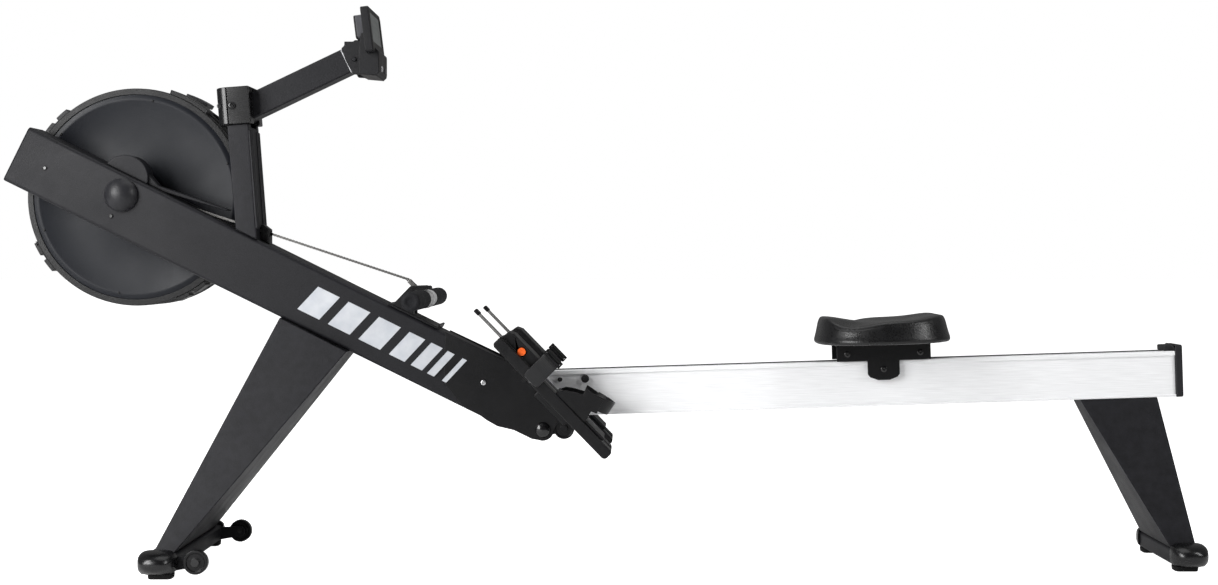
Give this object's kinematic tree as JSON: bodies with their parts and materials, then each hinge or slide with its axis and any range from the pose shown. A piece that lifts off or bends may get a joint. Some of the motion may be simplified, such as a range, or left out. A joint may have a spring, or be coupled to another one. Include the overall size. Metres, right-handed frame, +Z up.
{
  "type": "rowing machine",
  "caption": "Air rowing machine with a sloping box beam, caged fan, chain handle, tilting monitor, adjustable footboards and a seat that slides on an aluminium rail.",
  "frame": {"origin": "on the floor, in the middle of the machine's length and width", "axes": "+X from the fan towards the rear foot, +Y to the rower's right, +Z up"},
  "size_m": [2.4561, 0.5, 1.1453],
  "materials": {
    "charcoal_powder_coat": "fine textured satin powder coat",
    "black_steel": "satin black powder coat",
    "grey_trim": "satin moulded plastic",
    "gloss_black_plastic": "glossy",
    "rubber": "matt",
    "light_grey_plastic": "satin",
    "grey_plastic": "satin moulded plastic",
    "grey_cover": "satin",
    "black_plastic": "satin moulded plastic",
    "bearing_steel": "ground",
    "chain_steel": "nickel plated",
    "elastic_cord": "braided sheath over rubber",
    "anodised_aluminium": "clear anodised, satin",
    "board_plastic": "fine grained moulding",
    "strap_webbing": "woven webbing",
    "bolt_steel": "blackened and zinc plated",
    "cast_alloy": "cast, satin",
    "wheel_plastic": "satin moulded plastic",
    "sleeve_grey": "satin",
    "grip_foam": "fine closed cell foam",
    "monitor_plastic": "fine grained moulding",
    "screen_glass": "clear window over a reflective liquid crystal panel",
    "dark_button_plastic": "satin",
    "seat_foam": "fine grained integral skin foam",
    "strip_steel": "stainless, brushed",
    "orange_plastic": "satin"
  },
  "bodies": {
    "frame": {"main_beam": "charcoal_powder_coat", "beam_end_cap": "grey_trim", "side_plates": "black_steel", "front_leg": "charcoal_powder_coat", "front_foot": "charcoal_powder_coat", "foot_end_caps": "gloss_black_plastic", "foot_pads": "rubber", "monitor_post": "charcoal_powder_coat", "post_cap": "gloss_black_plastic", "chain_guide": "black_plastic", "sprocket_cover": "charcoal_powder_coat", "axle_cap": "grey_plastic", "fan_front_cover": "grey_cover", "fan_rim": "black_plastic", "fan_grille": "black_plastic", "rim_clips": "black_plastic", "axle_bearings": "bearing_steel", "inner_chain": "chain_steel", "elastic_cord": "elastic_cord", "handle_cradle": "black_steel", "rail_saddle": "black_steel", "rail": "anodised_aluminium", "rail_end_cap": "grey_trim", "rear_leg": "charcoal_powder_coat", "rear_foot": "charcoal_powder_coat", "footboard_left": "board_plastic", "footboard_right": "board_plastic", "foot_strap_left": "strap_webbing", "foot_strap_right": "strap_webbing", "frame_bolts": "bolt_steel"},
    "fan_rotor": {"flywheel": "cast_alloy", "flywheel_axle": "bearing_steel"},
    "sprocket": {"sprocket": "chain_steel"},
    "return_pulley": {"return_pulley": "black_plastic"},
    "damper": {"damper_lever": "grey_plastic"},
    "wheel_left": {"wheel_left": "wheel_plastic"},
    "wheel_right": {"wheel_right": "wheel_plastic"},
    "storage_rollers": {"storage_rollers": "wheel_plastic"},
    "handle": {"handle_bar": "sleeve_grey", "grip_left": "grip_foam", "grip_right": "grip_foam", "handle_yoke": "sleeve_grey", "chain_swivel": "chain_steel", "drive_chain": "chain_steel"},
    "monitor_arm": {"monitor_arm": "charcoal_powder_coat"},
    "monitor": {"monitor_case": "monitor_plastic", "monitor_screen": "screen_glass"},
    "menu_button": {"menu_button": "light_grey_plastic"},
    "power_button": {"power_button": "dark_button_plastic"},
    "seat": {"seat_pad": "seat_foam", "seat_carriage": "black_steel"},
    "seat_roller_front": {"seat_roller_front": "wheel_plastic"},
    "seat_roller_rear": {"seat_roller_rear": "wheel_plastic"},
    "seat_guide_rollers": {"seat_guide_rollers": "wheel_plastic"},
    "foot_slide_left": {"heel_cup_left": "board_plastic", "slide_strip_left": "strip_steel"},
    "foot_slide_right": {"heel_cup_right": "board_plastic", "slide_strip_right": "strip_steel"},
    "release_button_left": {"release_button_left": "orange_plastic"},
    "release_button_right": {"release_button_right": "orange_plastic"}
  },
  "joints": [
    {"name": "flywheel_spin", "type": "hinge", "parent": "frame", "child": "fan_rotor", "pos_m": [-0.98676, 0, 0.76004], "axis": [0, 1, 0], "continuous": true},
    {"name": "handle_pull", "type": "slide", "parent": "frame", "child": "handle", "axis": [0.9925, 0, 0.1219], "range_m": [0, 1.2], "deforming": ["drive_chain"]},
    {"name": "sprocket_spin", "type": "hinge", "parent": "frame", "child": "sprocket", "pos_m": [-0.98676, 0, 0.76004], "axis": [0, 1, 0], "continuous": true},
    {"name": "return_pulley_spin", "type": "hinge", "parent": "frame", "child": "return_pulley", "pos_m": [-0.3047, 0, 0.381], "axis": [0, 1, 0], "continuous": true},
    {"name": "damper_turn", "type": "hinge", "parent": "frame", "child": "damper", "pos_m": [-0.98676, 0, 0.76004], "axis": [0, 1, 0], "range_deg": [-30, 20]},
    {"name": "wheel_left_spin", "type": "hinge", "parent": "frame", "child": "wheel_left", "pos_m": [-0.795, -0.196, 0.032], "axis": [0, 1, 0], "continuous": true},
    {"name": "wheel_right_spin", "type": "hinge", "parent": "frame", "child": "wheel_right", "pos_m": [-0.795, 0.196, 0.032], "axis": [0, 1, 0], "continuous": true},
    {"name": "storage_roller_spin", "type": "hinge", "parent": "frame", "child": "storage_rollers", "pos_m": [-0.076, 0, 0.279], "axis": [0, 1, 0], "continuous": true},
    {"name": "arm_swing", "type": "hinge", "parent": "frame", "child": "monitor_arm", "pos_m": [-0.757, 0, 0.9435], "axis": [0, 1, 0], "range_deg": [0, 26]},
    {"name": "monitor_tilt", "type": "hinge", "parent": "monitor_arm", "child": "monitor", "pos_m": [-0.508, 0, 1.04], "axis": [0, 1, 0], "range_deg": [-12, 12]},
    {"name": "menu_press", "type": "slide", "parent": "monitor", "child": "menu_button", "axis": [-1, 0, 0], "range_m": [0, 0.002], "stiffness_N_per_m": 400},
    {"name": "power_press", "type": "slide", "parent": "monitor", "child": "power_button", "axis": [-1, 0, 0], "range_m": [0, 0.002], "stiffness_N_per_m": 400},
    {"name": "seat_slide", "type": "slide", "parent": "frame", "child": "seat", "axis": [0.9995, 0, 0.0314], "range_m": [-0.44, 0.42]},
    {"name": "seat_roller_front_spin", "type": "hinge", "parent": "seat", "child": "seat_roller_front", "pos_m": [0.50724, 0, 0.43249], "axis": [0, 1, 0], "continuous": true},
    {"name": "seat_roller_rear_spin", "type": "hinge", "parent": "seat", "child": "seat_roller_rear", "pos_m": [0.65716, 0, 0.43721], "axis": [0, 1, 0], "continuous": true},
    {"name": "seat_guide_roller_spin", "type": "hinge", "parent": "seat", "child": "seat_guide_rollers", "pos_m": [0.58222, 0, 0.40223], "axis": [0, 1, 0], "continuous": true},
    {"name": "foot_slide_left", "type": "slide", "parent": "frame", "child": "foot_slide_left", "axis": [0.6972, 0, -0.7169], "range_m": [-0.04, 0.03]},
    {"name": "foot_slide_right", "type": "slide", "parent": "frame", "child": "foot_slide_right", "axis": [0.6972, 0, -0.7169], "range_m": [-0.04, 0.03]},
    {"name": "release_left_press", "type": "slide", "parent": "frame", "child": "release_button_left", "axis": [0, 1, 0], "range_m": [0, 0.004], "stiffness_N_per_m": 500},
    {"name": "release_right_press", "type": "slide", "parent": "frame", "child": "release_button_right", "axis": [0, -1, 0], "range_m": [0, 0.004], "stiffness_N_per_m": 500}
  ],
  "couplings": [
    {"joint": "sprocket_spin", "follows": "handle_pull", "rad_per_m": 53.191},
    {"joint": "return_pulley_spin", "follows": "handle_pull", "rad_per_m": -53.191},
    {"joint": "seat_roller_front_spin", "follows": "seat_slide", "rad_per_m": 66.667},
    {"joint": "seat_roller_rear_spin", "follows": "seat_slide", "rad_per_m": 66.667},
    {"joint": "seat_guide_roller_spin", "follows": "seat_slide", "rad_per_m": -125}
  ]
}
